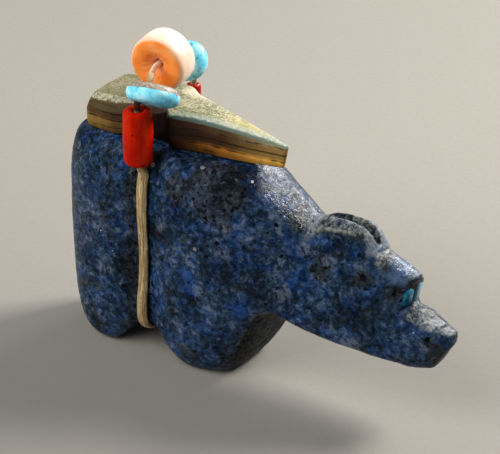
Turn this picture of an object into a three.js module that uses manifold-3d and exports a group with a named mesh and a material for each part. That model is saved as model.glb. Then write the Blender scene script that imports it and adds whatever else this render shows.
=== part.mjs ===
// A small carved stone bear with an offering bundle tied on its back: a layered arrowhead held down by
// a loop of sinew, strung with coral, turquoise and shell beads. Millimetres, +X to the nose, +Z up.
import * as THREE from "three";
import { mergeVertices } from "three/addons/utils/BufferGeometryUtils.js";
import Module from "manifold-3d";

const wasm = await Module();
wasm.setup();

// Driving sizes, in millimetres; slants are in degrees.
const body = { length: 44.65, height: 23.2, width: 12 };
const soleCut = 0.3; // how much of the rounded feet is ground off to make flat soles
const seatCut = 0.75; // how much of the rounded back is ground off to seat the arrowhead
const groove = { depth: 1.1, hindReach: 1.5, foreReach: 2.3, rightLean: 0.6, leftLean: -1.6 };
const grooveForm = { onBack: 0.5, onBelly: 0.25, shoulderDepth: 0.45, shoulderReach: 0.2, edge: 2.4 };
const earSlot = { width: 1.1, depth: 1.9, dip: 9 };
const eye = { width: 1.25, height: 2.1, corner: 0.5, depth: 0.2, proud: 0.08 };
const eyePlace = { rightSlant: 21, leftSlant: 7, rise: 0.36, ridge: 0.2 };
const arrowhead = { length: 23, width: 7.6, thickness: 3.6, crown: 0.1 };
const chipping = { bevel: 0.55, tailBevel: 1.6, undercut: 1.1, notch: 1.3 };
const sinew = { strung: 0.7, broad: 1.3, flat: 0.6, stray: 0.25 };
const nearTube = { diameter: 3.12, length: 6, round: 0.6, standOff: 0 };
const farTube = { diameter: 1.7, length: 4.6, round: 0.28, standOff: 1.27 };
const nearNugget = { diameter: 5.6, thickness: 1.85, slant: 32, pitch: -0.12, lift: 0.3 };
const farNugget = { diameter: 4.55, thickness: 1.8, slant: 52, pitch: -0.12, lift: 0.5 };
const shell = { diameter: 6.15, thickness: 3.2, round: 0.6, slant: 6 };
const boreGap = 0.2; // between the sinew and a bead's bore
const restGap = 0.08; // between pieces that touch
const inlayGap = 0.05; // round an eye in its pocket
const bedding = 0.15; // the flat sinew rides this far off the curved bottom of the groove

// Places of the carving, in percent of the body's length or height. The brow's front leans back and its
// ledge reaches forward in millimetres, and the ledge falls away by a share of its half width.
const grooveAt = 24.6;
const throatAt = 57.8;
const soles = { hind: [10.5, 16], fore: [38, 46.2] };
const brow = { at: 90.8, foot: 52, top: 66.3, lean: 0.85, ledge: 3, fall: 0.35 };
const ears = { from: 66.4, to: 83.5, top: 85 };

const ringPoints = 30;
const roundSteps = 16;

const percentX = (share) => (share / 100) * body.length;
const percentZ = (share) => (share / 100) * body.height;
const grooveX = percentX(grooveAt);
const rightShoulder = grooveX + groove.rightLean;
const leftShoulder = grooveX + groove.leftLean;
const seatZ = body.height - seatCut;
const { lerp, clamp, degToRad } = THREE.MathUtils;

// A chain of smooth runs through points in percent, with a corner where one run meets the next.
function outline(...runs) {
  const chain = runs.flatMap((run) => {
    const points = run.map(([x, z]) => new THREE.Vector2(percentX(x), percentZ(z)));
    return run.length > 2 ? new THREE.SplineCurve(points).getPoints((run.length - 1) * 4) : points;
  });
  return chain.filter((point, i) => i === 0 || point.x - chain[i - 1].x > 1e-3);
}

// The height of a chain at one station along the body.
function heightOn(chain, x) {
  const next = clamp(chain.findIndex((point) => point.x >= x), 1, chain.length - 1);
  const [a, b] = [chain[next - 1], chain[next]];
  return lerp(a.y, b.y, clamp((x - a.x) / (b.x - a.x), 0, 1));
}

// A smooth course through [percent of length, value] pairs.
function course(pairs, length) {
  const [places, values] = [0, 1].map((column) => pairs.map((pair) => pair[column]));
  const curve = new THREE.CubicInterpolant(places, values, 1);
  const [least, most] = [Math.min(...values), Math.max(...values)];
  return (x) => clamp(curve.evaluate((x / length) * 100)[0], least, most);
}

const soleLevel = (-soleCut / body.height) * 100;
const back = outline(
  [
    [0, 70], [0.4, 84], [1.5, 93.5], [3.7, 98.8], [7, 100.3],
    [26, 100.6], [42, 100], [50, 96.6], [57, 87.6], [62.8, 80.4],
  ],
  [
    [63, 79.8], [64.6, 78.6], [66.4, 80.8], [68.8, 83.8],
    [72, 84.9], [75.6, 84.8], [78.8, 82.6], [80.4, 78], [81.1, 74],
  ],
  [[81.4, 73], [84.4, 71.7], [87.6, 69.4], [brow.at, brow.top]],
  [[brow.at + 0.25, brow.foot], [95, 49], [100, 45.4]],
);
const belly = outline(
  [[0, 42], [1, 27], [2.7, 15], [5.1, 6.2], [7.5, 1.6], [soles.hind[0], soleLevel]],
  [[soles.hind[0] + 0.1, soleLevel], [soles.hind[1], soleLevel]],
  [
    [soles.hind[1] + 0.1, soleLevel], [18, 2], [20.2, 7.2], [22, 10.2], [24.6, 11],
    [27.2, 10.8], [29.4, 8.4], [32.2, 3.8], [34.8, 0.5], [soles.fore[0], soleLevel],
  ],
  [[soles.fore[0] + 0.1, soleLevel], [soles.fore[1], soleLevel]],
  [[soles.fore[1] + 0.1, soleLevel], [48.6, 2.6], [51.2, 10], [54, 22], [56.2, 31.6], [throatAt, 36.6]],
  [[throatAt + 0.2, 36.8], [63, 33.4], [70, 30], [80, 28], [91, 27], [96.2, 28]],
  [[96.4, 28.4], [100, 41]],
);

// Half the body's width as a share: a rounded rump, straight flanks, then a long taper to the nose.
const taper = course(
  [
    [0, 1], [40, 1], [47, 0.99], [56, 0.93], [64, 0.78],
    [72, 0.67], [80, 0.58], [90, 0.47], [94, 0.33], [100, 0.11],
  ],
  body.length,
);
function halfWidth(x) {
  const rumpDepth = percentX(14);
  const rumpPower = 2.1;
  const rump = Math.max(0, 1 - x / rumpDepth);
  return (body.width / 2) * taper(x) * (1 - rump ** rumpPower) ** (1 / rumpPower);
}

// How square the cross-section's upper and lower halves are, and how much the head narrows upwards.
const upperSquareness = course(
  [[0, 3.4], [10, 3.6], [40, 3.6], [56, 3], [66, 4.2], [81, 4.4], [86, 3.5], [91, 3.5], [94, 4.6], [100, 5]],
  body.length,
);
const lowerSquareness = course(
  [[0, 3.4], [10, 8], [38, 9], [44, 6], [48, 3.6], [54, 3.6], [60, 5], [66, 6], [100, 5]],
  body.length,
);
const lean = course(
  [
    [0, 0], [40, 0], [48, 0.07], [56, 0.26], [66, 0.46], [80, 0.46],
    [brow.at - 0.1, 0.47], [brow.at + 0.3, 0.33], [100, 0],
  ],
  body.length,
);

// The groove runs round the body and leans on each flank. Across runs from -1 at the right flank to 1 at
// the left, up from -1 at the belly to 1 at the back. It is widest and deepest up where the beads hang.
function grooveMiddle(across, up) {
  return grooveX + lerp(groove.rightLean, groove.leftLean, (1 + across) / 2) * ((1 + up) / 2);
}

function grooveInset(x, across, up) {
  const off = x - grooveMiddle(across, up);
  const shoulder = Math.max(0, up);
  const reach = (off < 0 ? groove.hindReach : groove.foreReach) * (1 + grooveForm.shoulderReach * shoulder);
  const depth = groove.depth * (1 + grooveForm.shoulderDepth * shoulder ** 2);
  return depth * Math.exp(-((Math.abs(off) / reach) ** grooveForm.edge));
}

// The cross-section at one station: its middle, its half height, and the powers of its two halves.
function section(x) {
  const top = heightOn(back, x) - grooveInset(x, 0, 1) * grooveForm.onBack;
  const bottom = heightOn(belly, x) + grooveInset(x, 0, -1) * grooveForm.onBelly;
  const powers = [upperSquareness(x), lowerSquareness(x)];
  return { middle: (top + bottom) / 2, half: (top - bottom) / 2, powers };
}

function widthAt(x, across, up) {
  return (halfWidth(x) - grooveInset(x, across, up)) * (1 - (lean(x) * (1 + up)) / 2);
}

// Where a direction round the cross-section meets the superellipse of one power.
function onRing(angle, powers) {
  const power = 2 / powers[Math.sin(angle) > 0 ? 0 : 1];
  return [Math.cos(angle), Math.sin(angle)].map((value) => Math.sign(value) * Math.abs(value) ** power);
}

function sectionPoint(x, angle) {
  const cut = section(x);
  const [across, up] = onRing(angle, cut.powers);
  return new THREE.Vector3(x, widthAt(x, across, up) * across, cut.middle + cut.half * up);
}

// How far a flank stands out at a station and a height.
function flankAt(side, x, z) {
  const cut = section(x);
  const up = clamp((z - cut.middle) / cut.half, -1, 1);
  const power = cut.powers[up > 0 ? 0 : 1];
  return widthAt(x, side, up) * (1 - Math.abs(up) ** power) ** (1 / power);
}

// A skin over rings of equally many points, closed on itself or capped at both ends.
function skin(rings, closed = false) {
  const count = rings[0].length;
  const positions = rings.flat().flatMap((point) => point.toArray());
  const faces = [];
  const last = closed ? rings.length : rings.length - 1;
  for (let i = 0; i < last; i++)
    for (let j = 0; j < count; j++) {
      const [here, next] = [i * count, ((i + 1) % rings.length) * count];
      const k = (j + 1) % count;
      faces.push(here + j, here + k, next + k, here + j, next + k, next + j);
    }
  const ends = closed ? [] : [0, rings.length - 1];
  for (const end of ends) {
    const centre = new THREE.Vector3();
    for (const point of rings[end]) centre.addScaledVector(point, 1 / count);
    const middle = positions.push(...centre.toArray()) / 3 - 1;
    for (let j = 0; j < count; j++) {
      const [a, b] = [end * count + j, end * count + ((j + 1) % count)];
      faces.push(middle, ...(end === 0 ? [b, a] : [a, b]));
    }
  }
  const geometry = new THREE.BufferGeometry();
  geometry.setAttribute("position", new THREE.Float32BufferAttribute(positions, 3));
  geometry.setIndex(faces);
  return geometry;
}

function solid(geometry) {
  const bare = geometry.clone();
  for (const name of ["normal", "uv"]) bare.deleteAttribute(name);
  const merged = mergeVertices(bare, 1e-4);
  const vertProperties = merged.attributes.position.array;
  const triVerts = new Uint32Array(merged.index.array);
  return new wasm.Manifold(new wasm.Mesh({ numProp: 3, vertProperties, triVerts }));
}

function geometryOf(manifold) {
  const mesh = manifold.getMesh();
  const geometry = new THREE.BufferGeometry();
  geometry.setAttribute("position", new THREE.BufferAttribute(mesh.vertProperties, 3));
  geometry.setIndex(new THREE.BufferAttribute(mesh.triVerts, 1));
  return geometry;
}

// A box between two corners.
function block(low, high) {
  const size = high.map((value, i) => value - low[i]);
  const middle = high.map((value, i) => (value + low[i]) / 2);
  return new THREE.BoxGeometry(...size).translate(...middle);
}

// Stations that follow the outline and the groove, no closer than they need to be.
function bodyStations() {
  const grooveSteps = [-2, -1.5, -1, -0.6, -0.3, 0, 0.3, 0.6, 1, 1.5, 2];
  const stops = [...back, ...belly].map((point) => point.x);
  const grooveStop = (step) => step * (step < 0 ? groove.hindReach : groove.foreReach);
  for (const middle of [grooveX, rightShoulder, leftShoulder])
    stops.push(...grooveSteps.map((step) => middle + grooveStop(step)));
  const corners = [brow.at, brow.at + 0.25].map(percentX);
  const isCorner = (x) => corners.some((corner) => Math.abs(corner - x) < 1e-6);
  const closest = (x) => (isCorner(x) ? 0.02 : 0.42);
  const kept = [0.04];
  for (const x of stops.sort((a, b) => a - b)) if (x - kept.at(-1) > closest(x)) kept.push(x);
  return [...kept, body.length];
}

function bearGeometry() {
  const angles = Array.from({ length: ringPoints }, (_, j) => (2 * Math.PI * (j + 0.5)) / ringPoints);
  const far = body.length;
  let bear = solid(skin(bodyStations().map((x) => angles.map((angle) => sectionPoint(x, angle)))));
  bear = bear.subtract(solid(block([-far, -far, -far], [2 * far, far, 0])));
  bear = bear.subtract(solid(block([-far, -far, seatZ], [2 * far, far, far])));
  bear = bear.subtract(solid(earWedge()));
  for (const side of [-1, 1]) {
    bear = bear.subtract(solid(browFacet(side)));
    bear = bear.subtract(solid(browLedge(side)));
    bear = bear.subtract(solid(eyeGeometry(side, inlayGap)));
  }
  return geometryOf(bear);
}

// The slot that parts the two ears, a wedge along the middle of the head.
function earWedge() {
  const top = percentZ(ears.top);
  const half = earSlot.width / 2;
  const above = 2;
  const profile = [[0, -earSlot.depth], [half, 0], [half, above], [-half, above], [-half, 0]];
  const cut = extrudedForward(profile, percentX(ears.to - ears.from)).rotateY(degToRad(earSlot.dip));
  return cut.translate(percentX(ears.from), 0, top);
}

// A cutter with a [y, z] profile, run forward from the origin.
function extrudedForward(profile, depth) {
  const shape = new THREE.Shape(profile.map(([y, z]) => new THREE.Vector2(y, z)));
  const cutter = new THREE.ExtrudeGeometry(shape, { depth, bevelEnabled: false });
  return cutter.rotateX(Math.PI / 2).rotateZ(Math.PI / 2);
}

// How far a side of the brow's front is turned away from straight ahead.
function facetTurn(side) {
  return side * degToRad(side < 0 ? eyePlace.rightSlant : eyePlace.leftSlant);
}

// One of the two slanted planes that meet in a ridge down the front of the brow and lean back to its foot.
function browFacet(side) {
  const [foot, top] = [percentZ(brow.foot), percentZ(brow.top)];
  const [above, clear] = [1, 1.5];
  const forward = (brow.lean * above) / (top - foot);
  const profile = [[-brow.lean, foot], [clear, foot], [clear, top + above], [forward, top + above]];
  const outlineShape = new THREE.Shape(profile.map(([x, z]) => new THREE.Vector2(x, z)));
  const cutter = new THREE.ExtrudeGeometry(outlineShape, { depth: 2 * body.width, bevelEnabled: false });
  cutter.rotateX(Math.PI / 2).translate(0, body.width, 0);
  return cutter.rotateZ(facetTurn(side)).translate(percentX(brow.at), 0, 0);
}

// A thin wedge that slopes the ledge at the brow's foot down to one side.
function browLedge(side) {
  const reach = body.width / 2;
  const skim = 0.02;
  const profile = [[0, 0], [side * reach, -reach * brow.fall], [side * reach, skim], [0, skim]];
  const cutter = extrudedForward(profile, brow.lean + brow.ledge).translate(-brow.lean, 0, 0);
  return cutter.rotateZ(facetTurn(side)).translate(percentX(brow.at), 0, percentZ(brow.foot));
}

// An eye inlay in its place on the brow, or its pocket where a gap is given.
function eyeGeometry(side, gap = 0) {
  const [w, h, r] = [eye.width / 2 + gap, eye.height / 2 + gap, eye.corner + gap];
  const shape = new THREE.Shape();
  for (const [i, [y, z]] of [[w - r, h - r], [r - w, h - r], [r - w, r - h], [w - r, r - h]].entries())
    shape.absarc(y, z, r, (i * Math.PI) / 2, ((i + 1) * Math.PI) / 2);
  const front = gap > 0 ? 1 : eye.proud;
  const depth = eye.depth + gap + front;
  const plug = new THREE.ExtrudeGeometry(shape, { depth, bevelEnabled: false, curveSegments: 3 });
  plug.rotateX(Math.PI / 2).rotateZ(Math.PI / 2);
  const browHeight = percentZ(brow.top - brow.foot);
  const back = brow.lean * (1 - eyePlace.rise);
  const turn = facetTurn(side);
  const fromRidge = eye.width / 2 + eyePlace.ridge + back * Math.tan(Math.abs(turn));
  plug.translate(-eye.depth - gap, side * fromRidge, 0);
  plug.rotateY(Math.atan(brow.lean / browHeight));
  plug.translate(-back, 0, percentZ(brow.foot) + browHeight * eyePlace.rise);
  return plug.rotateZ(turn).translate(percentX(brow.at), 0, 0);
}

// The arrowhead lies on the seat with its tip forward: a broad tail, two notches and a blade. Its two
// edges are shares of its width, its two faces shares of its thickness.
const rightEdge = [
  [0, 0.35], [3, 0.37], [14, 0.385], [44, 0.37], [53, 0.285],
  [66, 0.22], [77, 0.182], [89, 0.14], [100, 0.1],
];
const leftEdge = [
  [0, 0.59], [3, 0.61], [14, 0.62], [36, 0.61], [44, 0.455],
  [58, 0.318], [72, 0.195], [86, 0.08], [100, -0.02],
];
const rightNotch = [[15, 0], [22, 0.5], [29, 1], [38, 1], [41.5, 0.7], [44, 0]];
const leftNotch = [[11, 0], [17, 0.35], [24, 0.35], [29, 0.1], [33, 0], [100, 0]];
const thickest = 1.1; // the blade's greatest thickness, as a share of the arrowhead's
const alongArrow = (pairs) => course(pairs, arrowhead.length);
const [rightAt, leftAt, rightCut, leftCut] = [rightEdge, leftEdge, rightNotch, leftNotch].map(alongArrow);
const upperFace = alongArrow([[0, 0.94], [10, 1.01], [38, thickest], [66, 1.06], [88, 0.94], [100, 0.8]]);
const underFace = alongArrow([[0, 0], [70, 0], [100, 0.13]]);
const bladeShare = alongArrow([[0, 0.4], [34, 0.4], [42, 1], [60, 0.8], [100, 0.25]]);
const tailX = grooveX - 8.3;

// How far one of the arrowhead's edges stands out from its middle line, its notch taken off.
function arrowEdge(side, x) {
  const [edge, cut] = side < 0 ? [rightAt, rightCut] : [leftAt, leftCut];
  return edge(x) * arrowhead.width - cut(x) * chipping.notch;
}

// One chipped side from the foot to the top face: an undercut, an upright face and a rounded bevel.
function arrowSide({ half, sign, bevel, foot, top, undercut }) {
  const rise = bevel * 0.8;
  const [heel, lip] = [0.1, 0.05];
  const side = [
    [half - heel - undercut / 2, foot],
    [half - lip, foot + heel + lip + undercut],
    [half, top - rise],
    [half - bevel * 0.4, top - rise * 0.35],
    [half - bevel, top],
  ];
  return side.map(([y, z]) => [sign * y, z]);
}

function arrowSection(x) {
  const [right, left] = [-1, 1].map((side) => arrowEdge(side, x));
  const [top, foot] = [upperFace(x), Math.max(0, underFace(x))].map((share) => share * arrowhead.thickness);
  const undercut = bladeShare(x) * chipping.undercut;
  const intoBlade = clamp((x / arrowhead.length) * 10 - 3.2, 0, 1);
  const widest = (left + right) * 0.3;
  const rightBevel = Math.min(widest, lerp(chipping.tailBevel, chipping.bevel, intoBlade));
  const leftBevel = Math.min(widest, chipping.bevel);
  const middle = (left - right) / 2;
  const profile = [
    [middle, foot],
    ...arrowSide({ half: left, sign: 1, bevel: leftBevel, foot, top, undercut }),
    [middle, top + arrowhead.crown],
    ...arrowSide({ half: right, sign: -1, bevel: rightBevel, foot, top, undercut }).reverse(),
  ];
  const tipSlant = x === arrowhead.length ? 0.5 : 0;
  return profile.map(([y, z]) => new THREE.Vector3(x - tipSlant * (1 - z / top), y, z));
}

function arrowGeometry() {
  const tail = [0, 1.5, 4, 10, 15, 18, 21, 24, 27, 30, 32, 34, 36, 38];
  const blade = [40, 41.5, 44, 46, 49, 55, 62, 70, 79, 88, 95, 100];
  const sections = [...tail, ...blade].map((percent) => arrowSection((percent / 100) * arrowhead.length));
  return skin(sections).translate(tailX, 0, seatZ + restGap);
}

// A bead with a straight bore, its axis along Z and its rims rounded.
function drumGeometry({ diameter, length, round }) {
  const [r, h, bore] = [diameter / 2, length / 2, sinew.strung / 2 + boreGap];
  const rim = (z, from) =>
    [0, 1, 2, 3].map((i) => {
      const angle = ((from + i) * Math.PI) / 6;
      return new THREE.Vector2(r - round + round * Math.cos(angle), z + round * Math.sin(angle));
    });
  const ends = [-h, h].map((z) => new THREE.Vector2(bore, z));
  const profile = [ends[0], ...rim(round - h, -3), ...rim(h - round, 0), ends[1], ends[0]];
  return new THREE.LatheGeometry(profile, roundSteps).rotateX(Math.PI / 2);
}

// A tumbled disc, a little out of round, drilled off its middle and a little askew.
function nuggetGeometry({ diameter, thickness }, hole) {
  const under = [[0.4, -0.5], [0.76, -0.46], [0.93, -0.32], [1, -0.04]];
  const profile = [...under, [0.98, 0.2], [0.84, 0.43], [0.5, 0.5]];
  const [flattened, lumpy] = [0.05, 0.025];
  const rings = profile.map(([rho, h]) =>
    Array.from({ length: roundSteps }, (_, j) => {
      const angle = (2 * Math.PI * j) / roundSteps;
      const outOfRound = flattened * (1 - Math.cos(2 * angle)) + lumpy * Math.sin(3 * angle);
      const radius = (diameter / 2) * rho * (1 - outOfRound);
      return new THREE.Vector3(radius * Math.cos(angle), radius * Math.sin(angle), thickness * h);
    }),
  );
  const boreRadius = sinew.strung / 2 + boreGap;
  const bore = new THREE.CylinderGeometry(boreRadius, boreRadius, thickness * 2, 10);
  bore.rotateX(Math.PI / 2).rotateY(Math.atan(hole.drift / thickness)).translate(hole.x, hole.y, 0);
  return geometryOf(solid(skin(rings)).subtract(solid(bore)));
}

// How far out an upright bead stands to clear an edge that is given by its reach at each station.
function beside(x, { diameter }, edgeAt) {
  const radius = diameter / 2;
  const offsets = [-0.9, -0.6, -0.3, 0, 0.3, 0.6, 0.9].map((share) => share * radius);
  const bulge = (off) => Math.sqrt(radius ** 2 - off ** 2);
  const reach = offsets.map((off) => edgeAt(x + off) + bulge(off));
  return Math.max(...reach) + restGap;
}

const crownZ = seatZ + restGap + arrowhead.thickness * thickest + arrowhead.crown;
const shellLift = 1.1; // the shell bead rides this far above the arrowhead
const shellAt = new THREE.Vector3(grooveX - 0.45, 0.05, crownZ + shellLift + shell.diameter / 2);
const shellTurn = degToRad(shell.slant);
const shellAxis = new THREE.Vector3(-Math.sin(shellTurn), Math.cos(shellTurn), 0.1).normalize();

// A nugget leans with its inner edge by the shell bead and its outer edge raised.
function nuggetPlace(side, nugget, x) {
  const slant = degToRad(nugget.slant);
  const radius = nugget.diameter / 2;
  const rim = nugget.thickness * 0.4;
  const out = shell.thickness / 2 + restGap + radius * Math.cos(slant) + rim * Math.sin(slant);
  const up = crownZ + restGap + nugget.lift + radius * Math.sin(slant) + rim * Math.cos(slant);
  const axis = new THREE.Vector3(nugget.pitch, -side * Math.sin(slant), Math.cos(slant)).normalize();
  return { at: new THREE.Vector3(x, side * out, up), axis };
}

// A coral bead hangs upright against the shoulder of the groove or the arrowhead's edge, whichever is
// further out, with its top at a height that may depend on how far out it stands.
function tubePlace(side, tube, x, topAt) {
  const highestFoot = seatZ - 1;
  const byArrowhead = beside(x, tube, (at) => arrowEdge(side, at - tailX));
  let out = 0;
  let foot = highestFoot;
  for (let pass = 0; pass < 4; pass++) {
    const byFlank = beside(x, tube, (at) => flankAt(side, at, foot)) + tube.standOff;
    out = Math.max(byFlank, byArrowhead);
    foot = Math.min(highestFoot, topAt(side * out) - tube.length);
  }
  const at = new THREE.Vector3(x, side * out, topAt(side * out) - tube.length / 2);
  return { at, axis: new THREE.Vector3(0, 0, 1) };
}

const nearNuggetPlace = nuggetPlace(-1, nearNugget, rightShoulder + 1.02);
const farNuggetPlace = nuggetPlace(1, farNugget, leftShoulder + 1.6);
const nearTubeX = rightShoulder - 0.45;

// The near coral bead's rounded top touches the flat underside of its nugget.
function underNugget(y) {
  const { at, axis } = nearNuggetPlace;
  const { diameter, round } = nearTube;
  const lean = axis.x * (nearTubeX - at.x) + axis.y * (y - at.y);
  const rim = Math.hypot(axis.x, axis.y) * (diameter / 2 - round) + (1 - axis.z) * round;
  return at.z - (nearNugget.thickness * 0.45 + lean + rim + restGap) / axis.z;
}

const nearTubePlace = tubePlace(-1, nearTube, nearTubeX, underNugget);
const farTubePlace = tubePlace(1, farTube, leftShoulder + 0.77, () => crownZ - 0.45);

// Where each nugget is drilled, from its middle, and how far the hole drifts on its way through.
const nearHole = { x: -nearNugget.diameter * 0.2, y: -nearNugget.diameter * 0.05, drift: 0.8 };
const farHole = { x: -0.3, y: farNugget.diameter * 0.15, drift: 0 };

// The place and turn of a bead whose own axis is Z.
function beadPose({ at, axis }) {
  const turn = new THREE.Quaternion().setFromUnitVectors(new THREE.Vector3(0, 0, 1), axis);
  return new THREE.Matrix4().compose(at, turn, new THREE.Vector3(1, 1, 1));
}

// The sinew's stops: where it passes, which way it runs there, how broad and how thick it is.
function boreStops(place, length, hole = { x: 0, y: 0, drift: 0 }, backwards = false) {
  const pose = beadPose(place);
  const mouth = (end) => new THREE.Vector3(hole.x + hole.drift * end, hole.y, end * length);
  const ends = [-0.5, 0.5].map((end) => mouth(end).applyMatrix4(pose));
  if (backwards) ends.reverse();
  const way = ends[1].clone().sub(ends[0]).normalize();
  return ends.map((at) => ({ at, way, broad: sinew.strung, flat: sinew.strung }));
}

// The sinew lies flat in the groove, down one flank, under the belly and up the other.
function flankStops() {
  const last = 21;
  const start = 0.2 * Math.PI;
  const inGroove = (angle) => {
    const [across, up] = onRing(angle, section(grooveX).powers);
    return sectionPoint(grooveMiddle(across, up) - (sinew.stray * (1 + up)) / 2, angle);
  };
  return Array.from({ length: last + 1 }, (_, i) => {
    const angle = lerp(start, -Math.PI - start, i / last);
    const way = inGroove(angle - 0.01).sub(inGroove(angle + 0.01)).normalize();
    const outward = new THREE.Vector3(0, -way.z, way.y).normalize();
    const at = inGroove(angle).addScaledVector(outward, sinew.flat / 2 + bedding);
    return { at, way, broad: sinew.broad, flat: sinew.flat };
  });
}

function sinewGeometry() {
  const stops = [
    ...boreStops(nearTubePlace, nearTube.length),
    ...boreStops(nearNuggetPlace, nearNugget.thickness, nearHole),
    ...boreStops({ at: shellAt, axis: shellAxis }, shell.thickness),
    ...boreStops(farNuggetPlace, farNugget.thickness, farHole, true),
    ...boreStops(farTubePlace, farTube.length, undefined, true),
    ...flankStops(),
  ];
  const [slack, ringSpacing] = [0.27, 0.9];
  const rings = stops.flatMap((from, i) => {
    const to = stops[(i + 1) % stops.length];
    const handle = from.at.distanceTo(to.at) * slack;
    const path = new THREE.CubicBezierCurve3(
      from.at,
      from.at.clone().addScaledVector(from.way, handle),
      to.at.clone().addScaledVector(to.way, -handle),
      to.at,
    );
    const steps = Math.max(1, Math.round(path.getLength() / ringSpacing));
    return Array.from({ length: steps }, (_, step) => sinewRing(path, step / steps, from, to));
  });
  return skin(rings, true);
}

function sinewRing(path, t, from, to) {
  const centre = path.getPoint(t);
  const way = path.getTangent(t);
  const side = new THREE.Vector3(1, 0, 0).addScaledVector(way, -way.x).normalize();
  const out = new THREE.Vector3().crossVectors(way, side);
  const share = from.broad > to.broad ? t ** 3 : 1 - (1 - t) ** 3;
  const [broad, flat] = [lerp(from.broad, to.broad, share), lerp(from.flat, to.flat, share)];
  const sides = 8;
  return Array.from({ length: sides }, (_, j) => {
    const angle = (2 * Math.PI * j) / sides;
    const across = side.clone().multiplyScalar((Math.cos(angle) * broad) / 2);
    return across.addScaledVector(out, (Math.sin(angle) * flat) / 2).add(centre);
  });
}

const finishes = {
  stone: { color: 0x33405f, roughness: 0.35, metalness: 0 },
  layered: { color: 0x9a9272, roughness: 0.6, metalness: 0 },
  coral: { color: 0xb8260f, roughness: 0.3, metalness: 0 },
  turquoise: { color: 0x5cb9dd, roughness: 0.35, metalness: 0 },
  inlay: { color: 0x1d7f96, roughness: 0.3, metalness: 0 },
  shell: { color: 0xf2a078, roughness: 0.4, metalness: 0 },
  sinew: { color: 0xa88b5e, roughness: 0.7, metalness: 0 },
};

const group = new THREE.Group();

function addPiece(name, finish, geometry, place) {
  const piece = new THREE.Mesh(geometry, new THREE.MeshStandardMaterial(finishes[finish]));
  piece.name = name;
  if (place) piece.applyMatrix4(beadPose(place));
  group.add(piece);
}

addPiece("bear_body", "stone", bearGeometry());
addPiece("eye_inlay_right", "inlay", eyeGeometry(-1));
addPiece("eye_inlay_left", "inlay", eyeGeometry(1));
addPiece("arrowhead", "layered", arrowGeometry());
addPiece("coral_bead_right", "coral", drumGeometry(nearTube), nearTubePlace);
addPiece("coral_bead_left", "coral", drumGeometry(farTube), farTubePlace);
addPiece("turquoise_bead_right", "turquoise", nuggetGeometry(nearNugget, nearHole), nearNuggetPlace);
addPiece("turquoise_bead_left", "turquoise", nuggetGeometry(farNugget, farHole), farNuggetPlace);
const shellDrum = { ...shell, length: shell.thickness };
addPiece("shell_bead", "shell", drumGeometry(shellDrum), { at: shellAt, axis: shellAxis });
addPiece("sinew_binding", "sinew", sinewGeometry());

// The origin is the middle of the whole part's box, on the ground.
group.updateMatrixWorld(true);
const box = new THREE.Box3().setFromObject(group, true);
group.position.set(-(box.min.x + box.max.x) / 2, -(box.min.y + box.max.y) / 2, -box.min.z);

export default group;
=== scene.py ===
import math

import bmesh
import bpy
import numpy as np
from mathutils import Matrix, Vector


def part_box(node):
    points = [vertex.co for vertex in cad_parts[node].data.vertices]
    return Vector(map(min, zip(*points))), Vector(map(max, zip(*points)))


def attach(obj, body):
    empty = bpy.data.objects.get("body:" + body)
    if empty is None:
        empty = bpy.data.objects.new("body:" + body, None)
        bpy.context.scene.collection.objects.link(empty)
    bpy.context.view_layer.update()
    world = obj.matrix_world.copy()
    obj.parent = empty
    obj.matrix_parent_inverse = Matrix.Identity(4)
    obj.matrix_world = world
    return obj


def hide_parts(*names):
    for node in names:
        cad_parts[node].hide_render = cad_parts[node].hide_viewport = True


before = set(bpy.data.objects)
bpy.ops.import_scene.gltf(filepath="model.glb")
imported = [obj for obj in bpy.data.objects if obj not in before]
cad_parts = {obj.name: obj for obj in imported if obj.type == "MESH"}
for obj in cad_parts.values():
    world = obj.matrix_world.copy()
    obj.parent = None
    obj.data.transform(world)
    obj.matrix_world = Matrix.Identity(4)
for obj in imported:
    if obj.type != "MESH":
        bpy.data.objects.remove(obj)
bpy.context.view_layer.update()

MM = 0.001
PER_MM = 1000.0
TURN = 2 * math.pi
SIDES = ("right", "left")

bear_low, bear_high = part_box("bear_body")
BEAR_LENGTH = bear_high.x - bear_low.x
BEAR_HEIGHT = bear_high.z - bear_low.z

# The camera looks down on the bear's right side, a little from in front, at the photograph's angle.
CAMERA = {"azimuth": 34, "elevation": 27.5, "distance": 220 * MM, "lens": 158.4, "sensor": 36}
AIM = Vector((bear_low.x + 20.89 * MM, (bear_low.y + bear_high.y) / 2, 15.1 * MM))

# The bear's carving, in shares of its length and height. An ear's rim is in millimetres from the middle.
EARS = {"from": 0.664, "to": 0.81, "rim": 0.55, "slope": 0.62}
BROW = {"at": 0.908, "foot": 0.52, "top": 0.663}
MUZZLE_DROP = 0.26 * MM  # how far the top of the muzzle is ground down between the brow and the tip
EYE_PROUD = 0.08 * MM  # how far an inlay stands out of the flat facet round it
EYE_MARGIN = 0.28 * MM  # how much flat stone is left round an inlay
EYE_REACH = 0.4 * MM  # how far from the facet stone is still brought to it

# The even skins that the bear and its bundle are made of, and the bundle's beads.
BEAR_VOXEL = 0.2 * MM
BUNDLE_VOXEL = 0.1 * MM
BORE_RADIUS = 0.55 * MM
TIGHT_RADIUS = 0.33 * MM  # the radius of a bore that is drawn in round the sinew
NUGGET_SWELL = 0.1 * MM  # how much a turquoise bead is rounded out
SHELL_AXIS = Vector((-0.105, 0.995, 0.1)).normalized()
NUGGET_AXIS = Vector((-0.12, 0.53, 0.848)).normalized()

# The sinew's fibres and the sides of its solid.
FIBRES = 30
FIBRE = 0.26 * MM
RING_SIDES = 8
FLANK_BOW = 0.45 * MM  # how far it bows forward halfway down the right flank
FLANK_SLIM = 0.16  # the share of its width that it loses there
SHELL_SLIM = 0.22  # the share of its thickness that it loses at the shell

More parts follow.
